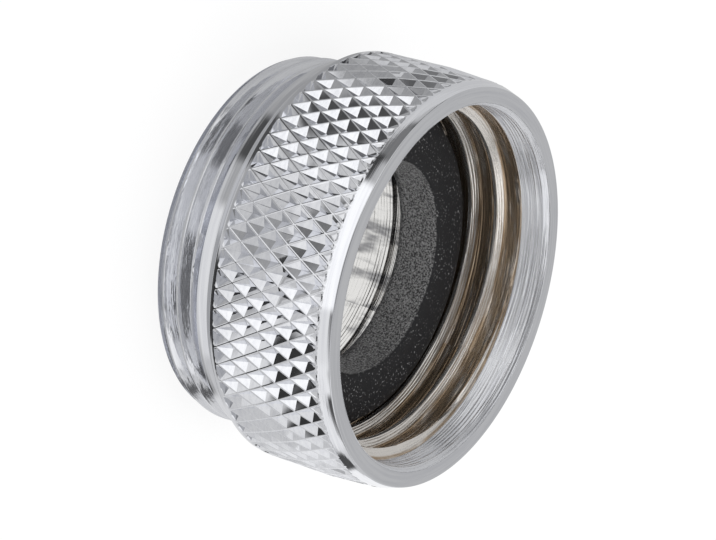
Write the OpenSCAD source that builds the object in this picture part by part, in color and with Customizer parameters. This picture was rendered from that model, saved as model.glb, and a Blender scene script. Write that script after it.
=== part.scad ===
// Thread reducer: a knurled, chrome-plated brass fitting with an internal pipe
// thread at its mouth and a finer external thread at its foot, and the rubber
// washer that seals inside it. It stands on the male end, mouth up, and the
// origin is the middle of that end's face.

/* [Body] */
// Overall height, from the male end to the mouth face
height = 12.45; // [11.7:0.05:16]

/* [Knurl] */
// Diameter over the knurl's ridges
knurl_d = 24.2; // [23.9:0.1:26]
// Width that the knurl loses all round towards its front edge
knurl_front_drop = 0.225; // [0:0.025:0.3]
// Height over which the knurl narrows towards its front edge
knurl_taper_h = 2.8; // [1:0.1:4]
// Depth of the pits between the knurl's ridges
knurl_depth = 0.35; // [0.2:0.05:0.5]
// Pits in one row round the body
knurl_teeth = 67; // [40:1:80]
// Angle between a ridge and the axis, in degrees
knurl_angle = 30; // [25:1:40]
// Height between the rear cone's edge and the first row of pits
first_row_gap = 0.35; // [0.2:0.01:0.6]
// Height by which the last pits run out into the front chamfer
front_runout = 0.15; // [0.1:0.05:0.4]

/* [Mouth] */
// Outer diameter of the flat mouth face
face_d = 23.2; // [23:0.1:23.5]
// Height of the chamfer between the mouth face and the knurl
front_chamfer_h = 0.78; // [0.5:0.02:0.9]
// Width added all round by the chamfer inside the mouth
mouth_chamfer_w = 0.16; // [0.05:0.01:0.3]
// Height of the chamfer inside the mouth
mouth_chamfer_h = 0.35; // [0.2:0.05:0.6]

/* [Female thread] */
// Major diameter of the half-inch pipe thread
female_major_d = 20.955; // [20.6:0.005:21.2]
// Diameter over the crests that the drill left
female_crest_d = 19.8; // [18.7:0.05:20]
// Gap all round between the plain mouth bore and the thread's major diameter
mouth_bore_gap = 0.02; // [0:0.01:0.1]
// Depth of the plain mouth bore, from the mouth face to the first crest
mouth_bore_depth = 1.9; // [1:0.1:2.5]
// Height of the thread's lead-in cone
lead_in_h = 0.25; // [0.1:0.05:0.5]
// Depth from the mouth face to the washer
socket_depth = 5.05; // [4.6:0.05:5.2]

/* [Male thread] */
// Major diameter of the fine external thread
male_major_d = 22; // [21.6:0.05:22.1]
// Pitch of the fine external thread
male_pitch = 1; // [0.75:0.25:1.25]
// Length of the external thread
male_thread_len = 2.6; // [2:0.1:2.7]
// Width of the chamfer on the thread's first turn
male_chamfer_w = 0.25; // [0.1:0.05:0.4]
// Height of the chamfer on the thread's first turn
male_chamfer_h = 0.6; // [0.2:0.05:0.8]
// Height of the flank at the end of the thread
runout_h = 0.2; // [0.1:0.05:0.3]
// Height of the undercut between the thread and the collar
undercut_h = 0.6; // [0.5:0.05:0.8]

/* [Collar] */
// Diameter of the plain collar behind the knurl
collar_d = 22.6; // [22.3:0.1:23]
// Height of the plain collar
collar_h = 0.75; // [0.6:0.05:1]

/* [Waterway] */
// Diameter of the bore through the male end
bore_d = 16.2; // [14:0.1:16.6]
// Width of the step between the bore and the wider bore under the washer
bore_step_w = 0.25; // [0.1:0.05:0.4]
// Depth of the wider bore under the washer
bore_step_depth = 1.45; // [0.8:0.05:1.8]
// Chamfer where the bore leaves the male end
bore_chamfer = 0.4; // [0.2:0.05:0.6]

/* [Washer] */
// Outer diameter of the rubber washer
washer_d = 19; // [18:0.1:19.4]
// Thickness of the rubber washer
washer_t = 3; // [2.6:0.1:3.1]
// Diameter of the washer's hole at its front face
washer_hole_d = 12.6; // [11:0.1:13.2]
// Width that the punched hole gains towards the back
washer_hole_draft = 0.4; // [0:0.05:0.6]
// Bevel on the washer's front edges
washer_bevel = 0.2; // [0.05:0.05:0.4]
// Gap all round between the washer and the groove that keeps it
washer_side_gap = 0.8; // [0.5:0.05:0.9]
// Gap between the washer's front face and the groove's upper wall
washer_top_gap = 0.05; // [0.02:0.01:0.2]

/* [Hidden] */
$fn = 180;

// Heights above the male end, in the order in which they come
undercut_z = male_thread_len + runout_h;
collar_z = male_thread_len + undercut_h;
rear_cone_z = collar_z + collar_h;
knurl_rear_z = rear_cone_z + (knurl_d - collar_d) / 2;
seat_z = height - socket_depth - washer_t;
washer_top_z = seat_z + washer_t;
groove_top_z = washer_top_z + washer_top_gap;
first_crest_z = height - mouth_bore_depth;
mouth_chamfer_z = height - mouth_chamfer_h;
knurl_front_z = height - front_chamfer_h;

// Radii that follow from the driving diameters
knurl_r = knurl_d / 2;
knurl_front_r = knurl_r - knurl_front_drop;
collar_r = collar_d / 2;
face_r = face_d / 2;
male_r = male_major_d / 2;
// A metric thread's external root lies 0.6134 of a pitch below its crest
undercut_r = male_r - 0.6134 * male_pitch;
mouth_bore_r = female_major_d / 2 + mouth_bore_gap;
crest_r = female_crest_d / 2;
bore_r = bore_d / 2;
washer_groove_r = washer_d / 2 + washer_side_gap;

// How far a cutting shape runs past the solid, and a joined one into it
cut_past = 1;
join_depth = 0.2;

// The knurl's pits stand in rows. Each row is turned by half a diamond against
// the next, so one ring holds a pit and a crossing of two ridges in turn.
columns = 2 * knurl_teeth;
row_step = PI * knurl_d / columns / tan(knurl_angle);
first_row_z = knurl_rear_z + first_row_gap;
rows = max(1, floor((knurl_front_z - first_row_z) / row_step) + 1);

function is_crossing(row, column) = abs(row + column) % 2 == 1;
function rear_cone_r(z) = collar_r + z - rear_cone_z;
function tip_r(z) =
    knurl_r - knurl_front_drop * max(0, 1 - (knurl_front_z - z) / knurl_taper_h);
function front_cone_r(z) =
    face_r + (knurl_front_r - face_r) * (height - z) / front_chamfer_h;
function at(column, r, z) =
    let (a = 360 * column / columns) [r * cos(a), r * sin(a), z];

// One ring of vertices for every height at which the blank's outline turns
function foot_ring() =
    let (z = rear_cone_z - join_depth)
    [for (c = [0:columns - 1]) at(c, rear_cone_r(z), z)];
function rear_ring() =
    [for (c = [0:columns - 1])
        at(c, rear_cone_r(knurl_rear_z), knurl_rear_z)];
function pit_ring(row) =
    [for (c = [0:columns - 1])
        let (z = first_row_z + row * row_step)
        at(c, tip_r(z) - (is_crossing(row, c) ? 0 : knurl_depth), z)];
function front_ring() =
    [for (c = [0:columns - 1])
        let (z = knurl_front_z + (is_crossing(rows, c) ? 0.05 : front_runout))
        at(c, front_cone_r(z), z)];
function face_ring() = [for (c = [0:columns - 1]) at(c, face_r, height)];

// Two triangles between neighbouring columns of ring i and ring i + 1. They
// part along the ridge, from crossing to crossing.
function facet_pair(i, c) =
    let (d = (c + 1) % columns,
         low = i * columns,
         high = low + columns,
         rising = is_crossing(i - 2, c))
    rising ? [[low + c, high + c, high + d], [low + c, high + d, low + d]]
           : [[low + c, high + c, low + d], [high + c, high + d, low + d]];

// The solid blank from the rear cone up, with the pits pressed into it
module knurled_blank() {
    rings = concat(
        [foot_ring(), rear_ring()],
        [for (row = [0:rows - 1]) pit_ring(row)],
        [front_ring(), face_ring()]);
    last = len(rings) - 1;
    sides = [for (i = [0:last - 1]) for (c = [0:columns - 1])
        for (facet = facet_pair(i, c)) facet];
    foot = [for (c = [0:columns - 1]) c];
    face = [for (c = [columns - 1:-1:0]) last * columns + c];
    polyhedron([for (ring = rings) each ring], concat([foot, face], sides));
}

// Outline of the male end: thread at its major diameter, undercut and collar
module male_end() {
    rotate_extrude()
        polygon([
            [0, 0],
            [male_r - male_chamfer_w, 0],
            [male_r, male_chamfer_h],
            [male_r, male_thread_len],
            [undercut_r, undercut_z],
            [undercut_r, collar_z],
            [collar_r, collar_z],
            [collar_r, rear_cone_z + join_depth],
            [0, rear_cone_z + join_depth]
        ]);
}

// Everything that is bored out, from the male end to the mouth
module bores() {
    step_r = bore_r + bore_step_w;
    mouth_slope = mouth_chamfer_w / mouth_chamfer_h;
    rotate_extrude()
        polygon([
            [0, -cut_past],
            [bore_r + bore_chamfer + cut_past, -cut_past],
            [bore_r, bore_chamfer],
            [bore_r, seat_z - bore_step_depth],
            [step_r, seat_z - bore_step_depth],
            [step_r, seat_z],
            [washer_groove_r, seat_z],
            [washer_groove_r, groove_top_z],
            [crest_r, groove_top_z],
            [crest_r, first_crest_z - lead_in_h],
            [mouth_bore_r, first_crest_z],
            [mouth_bore_r, mouth_chamfer_z],
            [mouth_bore_r + mouth_chamfer_w + cut_past * mouth_slope, height + cut_past],
            [0, height + cut_past]
        ]);
}

module body() {
    color([0.80, 0.81, 0.83])
        difference() {
            union() {
                knurled_blank();
                male_end();
            }
            bores();
        }
}

// The washer lies on the seat, under the thread's last crest
module washer() {
    hole_r = washer_hole_d / 2;
    outer_r = washer_d / 2;
    color([0.13, 0.13, 0.14])
        rotate_extrude()
            polygon([
                [hole_r + washer_hole_draft, seat_z],
                [outer_r, seat_z],
                [outer_r, washer_top_z - washer_bevel],
                [outer_r - washer_bevel, washer_top_z],
                [hole_r + washer_bevel, washer_top_z],
                [hole_r, washer_top_z - washer_bevel]
            ]);
}

body();
washer();
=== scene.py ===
"""Looks of the thread reducer: a chrome-plated, knurled brass fitting with a
rubber washer inside, standing on its male end on a plain pale floor.

Sizes are written in millimetres, in the CAD model's frame, and every mesh is
scaled to metres when it is made.
"""
from math import atan2, ceil, cos, floor, pi, radians, sin, tan

import bmesh
import bpy
import numpy as np
from mathutils import Euler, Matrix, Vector


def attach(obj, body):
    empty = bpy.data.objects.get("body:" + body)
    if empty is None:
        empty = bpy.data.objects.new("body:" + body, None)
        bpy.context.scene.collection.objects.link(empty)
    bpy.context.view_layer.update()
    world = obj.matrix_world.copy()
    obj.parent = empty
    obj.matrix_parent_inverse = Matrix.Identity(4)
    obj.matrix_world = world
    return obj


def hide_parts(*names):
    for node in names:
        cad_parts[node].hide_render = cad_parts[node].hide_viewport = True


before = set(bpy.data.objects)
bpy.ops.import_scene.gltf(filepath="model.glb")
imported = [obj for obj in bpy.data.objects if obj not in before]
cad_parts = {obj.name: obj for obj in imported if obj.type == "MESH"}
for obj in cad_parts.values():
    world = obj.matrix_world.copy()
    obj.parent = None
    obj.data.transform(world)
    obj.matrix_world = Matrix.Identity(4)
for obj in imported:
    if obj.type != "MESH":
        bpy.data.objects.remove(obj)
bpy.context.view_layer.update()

MM = 0.001

# Heights above the male end
HEIGHT = 12.45
UNDERCUT_Z = 2.8
COLLAR_Z = 3.2
REAR_CONE_Z = 3.95
KNURL_REAR_Z = 4.75
KNURL_FRONT_Z = 11.67
SEAT_Z = 4.4
WASHER_TOP_Z = 7.4
BORE_STEP_Z = 2.95
MOUTH_CHAMFER_Z = 12.1

# Radii of the turned faces
MALE_R = 11.0
MALE_END_R = 10.75
MALE_ROOT_R = 10.387
COLLAR_R = 11.3
KNURL_R = 12.1
FRONT_R = 11.875
FACE_R = 11.6
MOUTH_R = 10.498
MOUTH_CHAMFER_R = 10.658
FEMALE_ROOT_R = 10.478
FEMALE_CREST_R = 9.9
GROOVE_R = 10.3
WIDE_BORE_R = 8.35
BORE_R = 8.1

# Knurl: 67 pits round, in rows that are turned by half a pit against the next
TEETH = 67
KNURL_DEPTH = 0.35
KNURL_TAPER_H = 2.8
FIRST_ROW_Z = 5.10
LAST_ROW = 8
ROW_STEP = pi * 2 * KNURL_R / (2 * TEETH) / tan(radians(30))
# Depth of a pit by the distance from the ridge's middle, which is 0.5 at the
# pit's middle, both as shares
PIT_PROFILE = ([0.0, 0.03, 0.07, 0.5], [0.0, 0.012, 0.10, 1.0])
# Heights between which the knurl is meshed, and its pits run out at both ends
PATCH_LOW_Z = 4.98
PATCH_HIGH_Z = 11.77
RUNOUT_H = (0.12, 0.20)

COLUMNS = 402  # columns of the turned faces

# Threads: pitch, and the height of one crest at azimuth 0
MALE_PITCH = 1.0
MALE_CREST_Z = 1.53 - 18.05 / 360 * MALE_PITCH
FEMALE_PITCH = 1.814
FEMALE_CREST_Z = 8.945 - 198.05 / 360 * FEMALE_PITCH

# Camera, fitted to the photograph's circles and outline
CAMERA_AT = (116.3584, 37.8466, 81.891)
CAMERA_TURN = (-24.6095, -54.6447, -132.8678)
CAMERA_LENS = 125.70
CAMERA_SENSOR = 36.0


def lerp(a, b, t):
    return a + (b - a) * t


def smooth_step(lo, hi, x):
    t = np.clip((x - lo) / (hi - lo), 0.0, 1.0)
    return t * t * (3 - 2 * t)


def circle(count):
    """Azimuths of a ring's columns in degrees. The last one closes the ring."""
    return np.linspace(0.0, 360.0, count + 1)


def ring(count, r, z):
    """A ring of constant or given radius and height."""
    return (np.broadcast_to(np.asarray(r, float), count + 1).copy(),
            np.broadcast_to(np.asarray(z, float), count + 1).copy())


def rounded_corner(before, corner, after, size, steps=3):
    """Points of a small round between two straight lines of an outline."""
    before, corner, after = (np.array(p, float) for p in (before, corner, after))
    start = corner + (before - corner) / np.linalg.norm(before - corner) * size
    end = corner + (after - corner) / np.linalg.norm(after - corner) * size
    points = []
    for t in np.linspace(0, 1, steps + 1):
        points.append(tuple((1 - t) ** 2 * start + 2 * t * (1 - t) * corner + t * t * end))
    return points


def outline(points):
    """Turns (r, z) or (r, z, round) corners into the outline's points."""
    out = []
    for i, point in enumerate(points):
        if len(point) == 2 or i in (0, len(points) - 1):
            out.append(point[:2])
        else:
            out += rounded_corner(points[i - 1][:2], point[:2], points[i + 1][:2], point[2])
    return out


def rings_of(points, count):
    return [ring(count, r, z) for r, z in outline(points)]


def male_thread_r(azimuth, z):
    """Radius of the external thread, cut by its chamfer and its run-out."""
    turn = (z - MALE_CREST_Z) / MALE_PITCH - azimuth / 360
    away = np.abs(turn - np.round(turn)) * MALE_PITCH
    flat = MALE_PITCH / 16
    r = MALE_R - np.maximum(away - flat, 0) / tan(radians(30))
    r -= 0.012 * smooth_step(flat * 0.6, flat * 1.1, away)
    r = np.maximum(r, MALE_ROOT_R)
    chamfer = lerp(MALE_END_R, MALE_R, z / 0.6)
    runout = lerp(MALE_R, MALE_ROOT_R, (z - 2.6) / 0.2)
    return np.minimum(r, np.minimum(chamfer, np.maximum(runout, MALE_ROOT_R)))


def female_thread_r(azimuth, z):
    """Radius of the internal thread, cut by the cone that leads in to it."""
    turn = (z - FEMALE_CREST_Z) / FEMALE_PITCH - azimuth / 360
    away = np.abs(turn - np.round(turn)) * FEMALE_PITCH
    r = FEMALE_CREST_R + np.maximum(away - 0.115, 0) / tan(radians(27.5))
    r += 0.012 * smooth_step(0.08, 0.12, away)
    r = np.minimum(r, FEMALE_ROOT_R)
    lead_in = lerp(FEMALE_CREST_R, MOUTH_R, (z - 10.30) / 0.25)
    return np.maximum(r, np.minimum(lead_in, MOUTH_R))


def thread_rings(count, marks, pitch, crest_z, z_lo, z_hi, radius, downwards=False):
    """Rings that climb with a thread between two heights.

    Each mark is a share of the pitch after a crest. A ring that would leave
    the range lies on its end, where it merges with the others there, and the
    first and last one lie there all round. After one turn a ring meets the
    next turn's, so merging the columns closes the helix.
    """
    azimuth = circle(count)
    first = floor((z_lo - crest_z) / pitch) - 1
    last = ceil((z_hi - crest_z) / pitch)
    rings = [(radius(azimuth, z_lo), np.full(count + 1, z_lo))]
    for turn in range(first, last + 1):
        for mark in marks:
            z = crest_z + pitch * (turn + mark + azimuth / 360)
            if z.max() < z_lo or z.min() > z_hi:
                continue
            z = np.clip(z, z_lo, z_hi)
            rings.append((radius(azimuth, z), z))
    rings.append((radius(azimuth, z_hi), np.full(count + 1, z_hi)))
    return rings[::-1] if downwards else rings


def knurl_r(azimuth, z):
    """Radius of the knurled band: pyramid-shaped pits in a net of ridges."""
    column = azimuth / 360 * 2 * TEETH
    row = (z - FIRST_ROW_Z) / ROW_STEP
    p, q = (column + row) / 2, (column - row) / 2
    away = np.maximum(np.abs(p - np.round(p)), np.abs(q - np.round(q)))
    uneven = hashed(np.round(p) % TEETH, np.round(q) % TEETH)
    depth = KNURL_DEPTH * np.interp(0.5 - away, *PIT_PROFILE) * lerp(0.93, 1.0, uneven)
    depth *= np.clip((z - PATCH_LOW_Z) / RUNOUT_H[0], 0, 1)
    depth *= np.clip((PATCH_HIGH_Z - z) / RUNOUT_H[1], 0, 1)
    tip = KNURL_R - (KNURL_R - FRONT_R) * np.clip(
        1 - (KNURL_FRONT_Z - z) / KNURL_TAPER_H, 0, 1)
    return np.minimum(tip - depth, front_cone_r(z))


def front_cone_r(z):
    return lerp(FACE_R, FRONT_R, (HEIGHT - z) / (HEIGHT - KNURL_FRONT_Z))


def hashed(a, b):
    """A repeatable number from 0 to 1 for each pair of whole numbers."""
    value = np.sin(a * 12.9898 + b * 78.233) * 43758.5453
    return value - np.floor(value)


def knurl_cells():
    """The net of pits laid out flat: points of azimuth and height, and
    triangles whose edges follow the ridges and the pits' valleys."""
    marks = sorted({sign * (0.5 - edge) for edge in PIT_PROFILE[0] for sign in (-1, 1)})
    points, faces = [], []
    for row in range(-1, LAST_ROW + 1):
        for column in range(row % 2 - 2, 2 * TEETH + 3, 2):
            start = len(points)
            for p in marks:
                for q in marks:
                    points.append(((column + p + q) * 180 / TEETH,
                                   FIRST_ROW_Z + (row + p - q) * ROW_STEP, 0.0))
            size = len(marks)
            for i in range(size - 1):
                for j in range(size - 1):
                    a = start + i * size + j
                    b, c, d = a + size, a + size + 1, a + 1
                    if (marks[i] + marks[i + 1]) * (marks[j] + marks[j + 1]) > 0:
                        faces += [(a, b, c), (a, c, d)]
                    else:
                        faces += [(a, b, d), (b, c, d)]
    return points, faces


def knurl_patch():
    """The knurled band cut out of the flat net: points of azimuth, radius and
    height, and triangles."""
    points, faces = knurl_cells()
    mesh = bpy.data.meshes.new("knurl_net")
    mesh.from_pydata(points, [], faces)
    work = bmesh.new()
    work.from_mesh(mesh)
    bpy.data.meshes.remove(mesh)
    bmesh.ops.remove_doubles(work, verts=work.verts, dist=0.0005)
    cuts = [((0, 0, 0), (-1, 0, 0), True), ((360, 0, 0), (1, 0, 0), True),
            ((0, PATCH_LOW_Z, 0), (0, -1, 0), True), ((0, PATCH_HIGH_Z, 0), (0, 1, 0), True)]
    for z in (PATCH_HIGH_Z - RUNOUT_H[1], KNURL_FRONT_Z):
        cuts.append(((0, z, 0), (0, 1, 0), False))
    for place, normal, clear in cuts:
        bmesh.ops.bisect_plane(work, geom=work.verts[:] + work.edges[:] + work.faces[:],
                               dist=0.0005, plane_co=place, plane_no=normal, clear_outer=clear)
    bmesh.ops.triangulate(work, faces=[f for f in work.faces if len(f.verts) > 3])
    work.verts.index_update()
    flat = np.array([v.co[:2] for v in work.verts])
    faces = [tuple(v.index for v in f.verts) for f in work.faces]
    work.free()
    return np.stack([flat[:, 0], knurl_r(*flat.T), flat[:, 1]], 1).tolist(), faces


def edge_row(points, z):
    """Indices of the points at one height, in the order of their azimuths."""
    return sorted((i for i, point in enumerate(points) if abs(point[2] - z) < 0.001),
                  key=lambda i: points[i][0])


def stitched(points, low, high):
    """Triangles between two rows of points whose azimuths differ."""
    faces, i, j = [], 0, 0
    while i < len(low) - 1 or j < len(high) - 1:
        if j == len(high) - 1 or (
                i < len(low) - 1 and points[low[i + 1]][0] <= points[high[j + 1]][0]):
            faces.append((low[i], low[i + 1], high[j]))
            i += 1
        else:
            faces.append((low[i], high[j + 1], high[j]))
            j += 1
    return faces


def body_rings():
    """The body's outline as rings, from the knurl's front edge through the
    mouth and the bore, and up the outside to the knurl's rear edge."""
    mouth = rings_of([
        (front_cone_r(11.83), 11.83), (front_cone_r(12.05), 12.05), (FACE_R, HEIGHT, 0.05),
        (11.45, HEIGHT), (MOUTH_CHAMFER_R, HEIGHT, 0.03),
        (MOUTH_R, MOUTH_CHAMFER_Z, 0.03), (MOUTH_R, 11.4), (MOUTH_R, 10.62)], COLUMNS)
    socket = thread_rings(
        COLUMNS, (-0.063, -0.043, 0.043, 0.063, 0.14, 0.22, 0.24, 0.5, 0.76, 0.78, 0.86),
        FEMALE_PITCH, FEMALE_CREST_Z, 6.0, 10.56, female_thread_r, downwards=True)
    waterway = rings_of([
        (FEMALE_ROOT_R, 6.0), (GROOVE_R, 5.8), (GROOVE_R, SEAT_Z, 0.04),
        (WIDE_BORE_R, SEAT_Z, 0.04), (WIDE_BORE_R, BORE_STEP_Z, 0.03),
        (BORE_R, BORE_STEP_Z, 0.04), (BORE_R, 1.6), (BORE_R, 0.4, 0.04),
        (BORE_R + 0.4, 0), (MALE_END_R, 0, 0.04), (10.80, 0.12)], COLUMNS)[1:-1]
    thread = thread_rings(
        COLUMNS, (-0.0625, -0.035, 0.035, 0.0625, 0.2, 0.34, 0.4167, 0.5, 0.5833, 0.66, 0.8),
        MALE_PITCH, MALE_CREST_Z, 0.04, UNDERCUT_Z, male_thread_r)
    collar = rings_of([
        (MALE_ROOT_R, UNDERCUT_Z), (MALE_ROOT_R, COLLAR_Z, 0.06),
        (COLLAR_R, COLLAR_Z, 0.03), (COLLAR_R, REAR_CONE_Z, 0.04),
        (11.6, 4.25), (KNURL_R, KNURL_REAR_Z, 0.03), (KNURL_R, 4.9)], COLUMNS)[1:]
    return mouth + socket + waterway + thread + collar


def closed_body():
    """The knurled band and the rings, joined into one closed surface."""
    points, faces = knurl_patch()
    low_edge, high_edge = edge_row(points, PATCH_LOW_Z), edge_row(points, PATCH_HIGH_Z)
    rows = []
    for r, z in body_rings():
        rows.append(range(len(points), len(points) + COLUMNS + 1))
        points.extend(np.stack([circle(COLUMNS), r, z], 1).tolist())
    for low, high in zip(rows, rows[1:]):
        faces += [(low[j], low[j + 1], high[j + 1], high[j]) for j in range(COLUMNS)]
    faces += stitched(points, high_edge, rows[0]) + stitched(points, rows[-1], low_edge)
    azimuth, r, z = np.array(points).T
    azimuth = np.radians(azimuth)
    return np.stack([r * np.cos(azimuth), r * np.sin(azimuth), z], 1).tolist(), faces


def mesh_piece(name, points, faces, sharp_angle):
    """One object from points in millimetres, closed, with smooth faces."""
    mesh = bpy.data.meshes.new(name)
    mesh.from_pydata([(x * MM, y * MM, z * MM) for x, y, z in points], [], faces)
    work = bmesh.new()
    work.from_mesh(mesh)
    bmesh.ops.remove_doubles(work, verts=work.verts, dist=0.0004 * MM)
    bmesh.ops.dissolve_degenerate(work, edges=work.edges, dist=0.0002 * MM)
    bmesh.ops.recalc_face_normals(work, faces=work.faces)
    loose = [v for v in work.verts if not v.link_faces]
    bmesh.ops.delete(work, geom=loose, context="VERTS")
    open_edges = sum(1 for e in work.edges if len(e.link_faces) != 2)
    work.to_mesh(mesh)
    work.free()
    mesh.shade_smooth()
    mesh.set_sharp_from_angle(angle=radians(sharp_angle))
    piece = bpy.data.objects.new(name, mesh)
    bpy.context.scene.collection.objects.link(piece)
    triangles = sum(len(p.vertices) - 2 for p in mesh.polygons)
    print(name, "triangles", triangles, "open edges", open_edges)
    return piece


def washer_points():
    """The washer as rings: a flat face, a worn outer shoulder, a punched hole."""
    count = 240
    azimuth = circle(count)
    corners = [
        (6.7, SEAT_Z), (9.3, SEAT_Z), (9.5, SEAT_Z + 0.2), (9.5, 6.75),
        (9.46, 6.95), (9.34, 7.12), (9.12, 7.27), (8.85, 7.36), (8.5, WASHER_TOP_Z),
        (7.6, WASHER_TOP_Z), (6.7, WASHER_TOP_Z), (6.42, 7.38), (6.33, 7.31), (6.3, 7.2),
        (6.36, 6.8), (6.42, 6.2), (6.5, 5.6), (6.58, 5.0), (6.66, 4.6)]
    points, faces = [], []
    wave = np.radians(azimuth)
    for r, z in corners:
        punched = r < 6.75 and z > SEAT_Z
        size = 0.02 if punched else 0.0
        radius = r + size * (np.sin(3 * wave + 0.6) + 0.6 * np.sin(7 * wave + 1.9 * z)
                             + 0.5 * np.sin(13 * wave + 2.7 * z))
        points.extend(np.stack([radius * np.cos(wave), radius * np.sin(wave),
                                np.full(count + 1, z)], 1).tolist())
    rows = len(corners)
    for i in range(rows):
        low, high = i * (count + 1), (i + 1) % rows * (count + 1)
        for j in range(count):
            faces.append((low + j, low + j + 1, high + j + 1, high + j))
    return points, faces


class Nodes:
    """Short calls for building a shader tree."""

    def __init__(self, tree):
        self.tree = tree
        tree.nodes.clear()

    def node(self, kind, **settings):
        node = self.tree.nodes.new(kind)
        for key, value in settings.items():
            setattr(node, key, value)
        return node

    def link(self, output, socket):
        self.tree.links.new(output, socket)

    def feed(self, socket, value):
        if isinstance(value, bpy.types.NodeSocket):
            self.link(value, socket)
        else:
            socket.default_value = value

    def maths(self, operation, *values, clamp=False):
        node = self.node("ShaderNodeMath", operation=operation, use_clamp=clamp)
        for socket, value in zip(node.inputs, values):
            self.feed(socket, value)
        return node.outputs[0]

    def ramp_between(self, value, lo, hi):
        """0 below lo, 1 above hi, smooth between them."""
        node = self.node("ShaderNodeMapRange", interpolation_type="SMOOTHSTEP")
        for socket, number in zip(node.inputs[:5], (value, lo, hi, 0.0, 1.0)):
            self.feed(socket, number)
        return node.outputs[0]

    def band(self, value, lo, hi, soft):
        """1 between lo and hi, 0 outside, with soft ends."""
        return self.maths("MULTIPLY", self.ramp_between(value, lo - soft, lo + soft),
                          self.maths("SUBTRACT", 1.0,
                                     self.ramp_between(value, hi - soft, hi + soft)))

    def mix(self, factor, a, b):
        node = self.node("ShaderNodeMix", data_type="RGBA")
        self.feed(node.inputs[0], factor)
        self.feed(node.inputs[6], a)
        self.feed(node.inputs[7], b)
        return node.outputs[2]

    def vector(self, x, y, z):
        node = self.node("ShaderNodeCombineXYZ")
        for socket, value in zip(node.inputs, (x, y, z)):
            self.feed(socket, value)
        return node.outputs[0]

    def noise(self, vector, scale, detail=2.0, roughness=0.5):
        node = self.node("ShaderNodeTexNoise")
        self.link(vector, node.inputs["Vector"])
        node.inputs["Scale"].default_value = scale
        node.inputs["Detail"].default_value = detail
        node.inputs["Roughness"].default_value = roughness
        return node.outputs[0]

    def polar(self):
        """Radius, azimuth and height of the shaded point, in millimetres."""
        place = self.node("ShaderNodeTexCoord").outputs["Object"]
        parts = self.node("ShaderNodeSeparateXYZ")
        self.link(place, parts.inputs[0])
        x, y, z = (self.maths("MULTIPLY", parts.outputs[k], 1 / MM) for k in range(3))
        radius = self.maths("SQRT", self.maths(
            "ADD", self.maths("MULTIPLY", x, x), self.maths("MULTIPLY", y, y)))
        return place, radius, self.maths("ARCTAN2", y, x), z


def rgb(*values):
    return (*values, 1.0)


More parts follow.
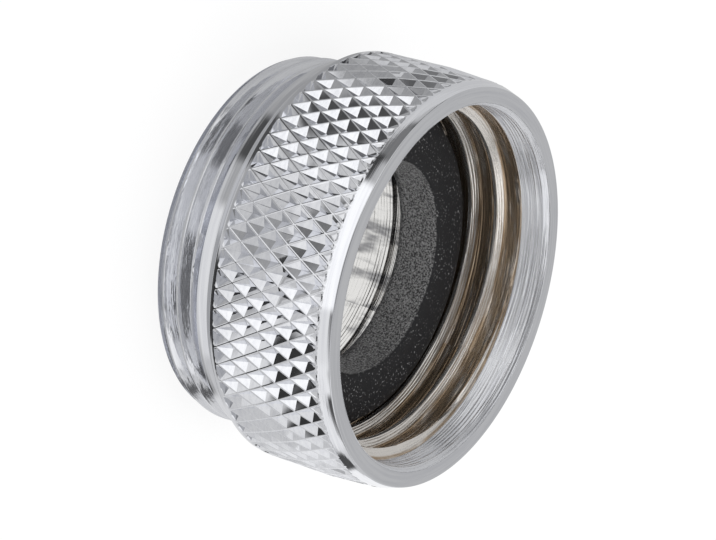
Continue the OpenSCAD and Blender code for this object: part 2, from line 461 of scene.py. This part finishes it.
def chrome_material():
    """Bright chrome with turning lines, which are deep in the bores. In the
    internal thread the plating is duller, and brown at the roots: partly a stain,
    partly painted shade in the recessed roots."""
    material = bpy.data.materials.new("chrome_turned")
    material.use_nodes = True
    n = Nodes(material.node_tree)
    place, radius, azimuth, z = n.polar()
    knurl = n.maths("MULTIPLY", n.band(z, 4.4, 11.75, 0.05),
                    n.ramp_between(radius, 11.5, 11.55))
    in_socket = n.maths("SUBTRACT", 1.0, n.ramp_between(radius, 10.68, 10.72))
    thread = n.maths("MULTIPLY", in_socket, n.band(z, 5.0, 10.6, 0.04))
    plain_bore = n.maths("MULTIPLY", in_socket, n.ramp_between(z, 10.56, 10.62))
    low_bore = n.maths("MULTIPLY", n.maths("SUBTRACT", 1.0, n.ramp_between(radius, 8.5, 8.6)),
                       n.maths("SUBTRACT", 1.0, n.ramp_between(z, 4.3, 4.35)))
    male_end = n.maths("MULTIPLY", n.ramp_between(radius, 9.0, 9.2),
                       n.maths("SUBTRACT", 1.0, n.ramp_between(z, 3.15, 3.25)))
    root = n.maths("MULTIPLY", thread, n.ramp_between(radius, 10.28, 10.40))

    # Brown at the thread roots: partly a stain, partly painted shade in the recessed roots.
    root_patch_noise = n.noise(n.vector(n.maths("MULTIPLY", azimuth, 3.0), radius,
                             n.maths("MULTIPLY", z, 2.0)), 1.3, 4.0, 0.6)
    root_stain_and_shade = n.maths("MULTIPLY", root, n.ramp_between(root_patch_noise, 0.20, 0.55))
    warm = n.mix(root_stain_and_shade, rgb(0.97, 0.93, 0.88), rgb(0.52, 0.40, 0.28))
    veil = n.noise(n.vector(n.maths("MULTIPLY", radius, 3.0), azimuth,
                            n.maths("MULTIPLY", z, 3.0)), 1.6, 4.0, 0.65)
    plating = n.mix(n.ramp_between(veil, 0.35, 0.70), rgb(0.87, 0.88, 0.91),
                    rgb(0.77, 0.78, 0.82))
    colour = n.mix(thread, plating, warm)
    # The low bore: dark streaks along the axis, painted into the colour as painted
    # reflections.
    streak_noise = n.noise(n.vector(n.maths("MULTIPLY", azimuth, 7.0), 0.0,
                             n.maths("MULTIPLY", z, 0.25)), 1.0, 3.0, 0.6)
    painted_reflection_streaks = n.mix(n.ramp_between(streak_noise, 0.42, 0.64), rgb(0.95, 0.94, 0.92),
                rgb(0.30, 0.30, 0.31))
    colour = n.mix(low_bore, colour, painted_reflection_streaks)

    wander = n.noise(n.vector(n.maths("MULTIPLY", azimuth, 2.5), radius,
                              n.maths("MULTIPLY", z, 0.4)), 1.0, 2.0, 0.5)
    phase = n.maths("MULTIPLY", n.maths("ADD", z, radius), 2 * pi / 0.22)
    lines = n.maths("SINE", n.maths("ADD", phase, n.maths("MULTIPLY", wander, 5.0)))
    fine = n.noise(n.vector(radius, n.maths("MULTIPLY", azimuth, 0.05), z), 9.0, 3.0, 0.6)
    torn = n.noise(n.vector(radius, n.maths("MULTIPLY", azimuth, 0.25), z), 4.0, 2.0, 0.6)
    dents = n.noise(n.vector(n.maths("MULTIPLY", azimuth, 5.0), radius,
                             n.maths("MULTIPLY", z, 3.0)), 1.4, 3.0, 0.55)
    cut = n.maths("ADD", n.maths("MULTIPLY", plain_bore, 0.006), n.maths(
        "ADD", n.maths("MULTIPLY", low_bore, 0.008), n.maths("MULTIPLY", thread, 0.003)))
    cut = n.maths("ADD", cut, 0.0003)
    scratch = n.maths("ADD", 0.0022, n.maths("MULTIPLY", n.maths(
        "ADD", plain_bore, n.maths("ADD", thread, low_bore)), 0.012))
    tears = n.maths("ADD", n.maths("MULTIPLY", plain_bore, 0.14), n.maths(
        "ADD", n.maths("MULTIPLY", low_bore, 0.05), n.maths("MULTIPLY", thread, 0.05)))
    blotch = n.maths("ADD", n.maths("MULTIPLY", male_end, 0.012), n.maths(
        "MULTIPLY", thread, 0.02))
    height = n.maths("ADD", n.maths("MULTIPLY", lines, cut), n.maths(
        "ADD", n.maths("MULTIPLY", fine, scratch), n.maths("MULTIPLY", dents, blotch)))
    height = n.maths("ADD", height, n.maths("MULTIPLY", torn, tears))
    step = n.maths("FRACT", n.maths("ADD", n.maths("MULTIPLY", z, 1 / 0.23),
                                    n.maths("MULTIPLY", wander, 1.5)))
    height = n.maths("SUBTRACT", height, n.maths(
        "MULTIPLY", n.maths("MULTIPLY", plain_bore, step), 0.17))
    height = n.maths("MULTIPLY", height, n.maths("SUBTRACT", 1.0, knurl))

    shader = n.node("ShaderNodeBsdfPrincipled")
    matt = n.maths("ADD", n.maths("MULTIPLY", plain_bore, 0.12), n.maths(
        "ADD", n.maths("MULTIPLY", thread, 0.05), n.maths("MULTIPLY", male_end, 0.10)))
    n.link(n.maths("SUBTRACT", 1.0, matt), shader.inputs["Metallic"])
    n.link(colour, shader.inputs["Base Color"])
    haze = n.noise(place, 420.0, 3.0, 0.55)
    dull = n.maths("ADD", n.maths("MULTIPLY", thread, 0.20), n.maths(
        "ADD", n.maths("MULTIPLY", plain_bore, 0.16), n.maths("MULTIPLY", low_bore, 0.12)))
    rough = n.maths("ADD", n.maths("MULTIPLY", haze, 0.06), dull)
    n.link(n.maths("ADD", rough, 0.02), shader.inputs["Roughness"])
    bump = n.node("ShaderNodeBump")
    bump.inputs["Strength"].default_value = 1.0
    bump.inputs["Distance"].default_value = MM
    n.link(height, bump.inputs["Height"])
    n.link(bump.outputs[0], shader.inputs["Normal"])
    output = n.node("ShaderNodeOutputMaterial")
    n.link(shader.outputs[0], output.inputs["Surface"])
    return material


def rubber_material():
    """Matt black rubber with pale dust, and a rougher, greyer punched hole."""
    material = bpy.data.materials.new("rubber_black")
    material.use_nodes = True
    n = Nodes(material.node_tree)
    place, radius, azimuth, z = n.polar()
    wall = n.maths("MULTIPLY", n.maths("SUBTRACT", 1.0, n.ramp_between(radius, 6.6, 6.75)),
                   n.maths("SUBTRACT", 1.0, n.ramp_between(z, 7.2, 7.34)))
    grain = n.noise(place, 9000.0, 3.0, 0.6)
    speck = n.noise(place, 6500.0, 2.0, 0.5)
    cloud = n.noise(place, 700.0, 3.0, 0.5)
    dust = n.maths("MULTIPLY", n.ramp_between(speck, 0.60, 0.72),
                   n.ramp_between(cloud, 0.35, 0.60))
    dust = n.maths("MULTIPLY", dust, 0.55)
    dark = n.mix(grain, rgb(0.006, 0.006, 0.007), rgb(0.018, 0.018, 0.019))
    torn = n.mix(n.ramp_between(grain, 0.38, 0.66), rgb(0.030, 0.030, 0.031),
                 rgb(0.31, 0.31, 0.31))
    colour = n.mix(dust, n.mix(wall, dark, torn), rgb(0.42, 0.42, 0.42))
    shader = n.node("ShaderNodeBsdfPrincipled")
    n.link(colour, shader.inputs["Base Color"])
    n.link(n.maths("ADD", 0.55, n.maths("MULTIPLY", grain, 0.25)), shader.inputs["Roughness"])
    shader.inputs["Specular IOR Level"].default_value = 0.28
    bump = n.node("ShaderNodeBump")
    bump.inputs["Strength"].default_value = 0.6
    bump.inputs["Distance"].default_value = 0.03 * MM
    n.link(grain, bump.inputs["Height"])
    n.link(bump.outputs[0], shader.inputs["Normal"])
    output = n.node("ShaderNodeOutputMaterial")
    n.link(shader.outputs[0], output.inputs["Surface"])
    return material


# What the chrome sees of the studio: cards round about it, each with its middle
# azimuth, half width and lowest and highest elevation in degrees, its brightness
# and the softness of its edges in degrees
WALL_LEVEL = 0.50
WALL_CARDS = [
    (15, 180, 54, 95, 0.25, 8),
    (5, 50, 18, 42, 0.50, 4),
    (150, 30, 14, 55, 0.68, 5),
    (128, 10, 26, 42, 0.20, 3),
    (62, 20, 12, 20, 0.22, 3),
    (-50, 14, -9, 22, 0.20, 3),
    (-76, 15, 5, 21, 0.05, 3),
    (62, 16, -9, 12, 0.82, 3),
    (85, 11, -9, 9, 0.90, 3),
    (12, 34, -9, 19, 1.12, 3),
    (-31, 8, -9, 5, 0.05, 2),
    (107, 15, 2, 14, 0.08, 3),
    (-45, 32, 34, 78, 0.85, 4),
    (130, 32, 44, 78, 0.95, 4),
    (150, 7, 32, 46, 0.06, 2)]

# The same for the floor, with distances from the axis in millimetres
FLOOR_LEVEL = 0.62
FLOOR_CARDS = [
    # The first card is a painted contact shadow: a darker ring round the foot, which only the
    # chrome sees.
    (15, 180, 0, 14, 0.42, 2),
    (15, 180, -2, 8.1, 0.80, 2),
    (-52, 28, 14, 40, 0.36, 3),
    (-15, 12, 14.3, 45, 0.08, 3),
    (8, 14, 12.5, 14.6, 0.62, 3),
    (8, 14, 14.7, 15.9, 0.42, 3),
    (8, 14, 18.0, 22, 0.42, 3),
    (42, 30, 14.2, 15.8, 0.80, 3),
    (44, 18, 16.0, 18.1, 0.04, 3),
    (54, 24, 18.0, 22.5, 0.04, 3),
    (85, 6, 11, 13.6, 0.04, 2),
    (107, 16, 11, 30, 0.75, 4),
    (150, 28, 11, 60, 1.00, 4),
    (-95, 16, 11, 12.8, 0.95, 3),
    (-70, 50, 80, 900, 0.66, 12),
    (-35, 12, 80, 900, 0.35, 5),
    (8, 30, 26, 3000, 0.90, 5),
    (105, 20, 80, 900, 0.90, 6),
    (130, 6, 42, 85, 0.08, 2)]


def paint_cards(n, base, cards, azimuth, height, height_soft):
    """A colour with each card laid over it, by azimuth and height in degrees
    or distance."""
    colour = base
    for middle, half, low, high, level, soft in cards:
        mask = n.band(height, low, high, height_soft)
        if half < 180:
            away = n.maths("ARCCOSINE", n.maths("COSINE", n.maths(
                "SUBTRACT", azimuth, radians(middle))))
            mask = n.maths("MULTIPLY", mask, n.maths(
                "SUBTRACT", 1.0, n.ramp_between(away, radians(half - soft),
                                                radians(half + soft))))
        colour = n.mix(mask, colour, rgb(level, level, level))
    return colour


def build_world():
    """A pale studio: white to the camera, cards and gaps to the chrome."""
    world = bpy.data.worlds.new("studio")
    bpy.context.scene.world = world
    world.use_nodes = True
    n = Nodes(world.node_tree)
    direction = n.node("ShaderNodeTexCoord").outputs["Generated"]
    parts = n.node("ShaderNodeSeparateXYZ")
    n.link(direction, parts.inputs[0])
    x, y, z = parts.outputs
    elevation = n.maths("MULTIPLY", n.maths("ARCSINE", z), 180 / pi)
    seen = paint_cards(n, rgb(*[WALL_LEVEL] * 3), WALL_CARDS,
                       n.maths("ARCTAN2", y, x), elevation, 2.0)
    path = n.node("ShaderNodeLightPath")
    light = n.mix(path.outputs["Is Glossy Ray"], rgb(0.75, 0.75, 0.76), seen)
    colour = n.mix(path.outputs["Is Camera Ray"], light, rgb(1, 1, 1))
    background = n.node("ShaderNodeBackground")
    n.link(colour, background.inputs["Color"])
    output = n.node("ShaderNodeOutputWorld")
    n.link(background.outputs[0], output.inputs["Surface"])


def build_floor():
    """A white sheet that keeps a faint shadow and shows the cards in the chrome."""
    mesh = bpy.data.meshes.new("floor")
    size = 1.5
    mesh.from_pydata([(-size, -size, 0), (size, -size, 0), (size, size, 0), (-size, size, 0)],
                     [], [(0, 1, 2, 3)])
    floor_piece = bpy.data.objects.new("floor", mesh)
    bpy.context.scene.collection.objects.link(floor_piece)
    material = bpy.data.materials.new("floor_white")
    material.use_nodes = True
    n = Nodes(material.node_tree)
    place, radius, azimuth, z = n.polar()
    # The chrome sees these cards, among them the painted contact shadow round the foot.
    cards = paint_cards(n, rgb(*[FLOOR_LEVEL] * 3), FLOOR_CARDS, azimuth, radius, 0.3)
    path = n.node("ShaderNodeLightPath")
    diffuse = n.node("ShaderNodeBsdfDiffuse")
    diffuse.inputs["Color"].default_value = rgb(0.9, 0.9, 0.9)
    white = n.node("ShaderNodeEmission")
    shown = n.mix(path.outputs["Is Glossy Ray"], rgb(1, 1, 1), cards)
    n.link(shown, white.inputs["Color"])
    share = n.maths("MAXIMUM", n.maths("MULTIPLY", path.outputs["Is Camera Ray"], 0.86),
                    path.outputs["Is Glossy Ray"])
    mixed = n.node("ShaderNodeMixShader")
    n.link(share, mixed.inputs[0])
    n.link(diffuse.outputs[0], mixed.inputs[1])
    n.link(white.outputs[0], mixed.inputs[2])
    output = n.node("ShaderNodeOutputMaterial")
    n.link(mixed.outputs[0], output.inputs["Surface"])
    mesh.materials.append(material)


def build_lamps():
    """One large soft lamp overhead, off the mirror faces' reflections."""
    for name, place, size, power in (
            ("lamp_top", (-0.10, 0.05, 0.45), 0.35, 1.1),
            ("lamp_front", (0.35, 0.30, 0.30), 0.30, 0.8)):
        light = bpy.data.lights.new(name, "AREA")
        light.shape = "DISK"
        light.size = size
        light.energy = power
        lamp = bpy.data.objects.new(name, light)
        lamp.location = place
        lamp.rotation_euler = (-Vector(place)).to_track_quat("-Z", "Y").to_euler()
        lamp.visible_glossy = False
        bpy.context.scene.collection.objects.link(lamp)


def build_camera():
    data = bpy.data.cameras.new("camera")
    data.sensor_width = CAMERA_SENSOR
    data.lens = CAMERA_LENS
    data.clip_start = 0.005
    data.clip_end = 10.0
    camera = bpy.data.objects.new("camera", data)
    camera.location = Vector(CAMERA_AT) * MM
    camera.rotation_euler = Euler([radians(a) for a in CAMERA_TURN], "XYZ")
    bpy.context.scene.collection.objects.link(camera)
    bpy.context.scene.camera = camera


build_camera()
build_world()
build_floor()
build_lamps()

body = mesh_piece("body_chrome", *closed_body(), sharp_angle=32)
body.data.materials.append(chrome_material())
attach(body, "root")
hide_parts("body")

washer = mesh_piece("washer_rubber", *washer_points(), sharp_angle=50)
washer.data.materials.append(rubber_material())
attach(washer, "root")
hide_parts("washer")

bpy.context.scene.view_settings.view_transform = "Standard"
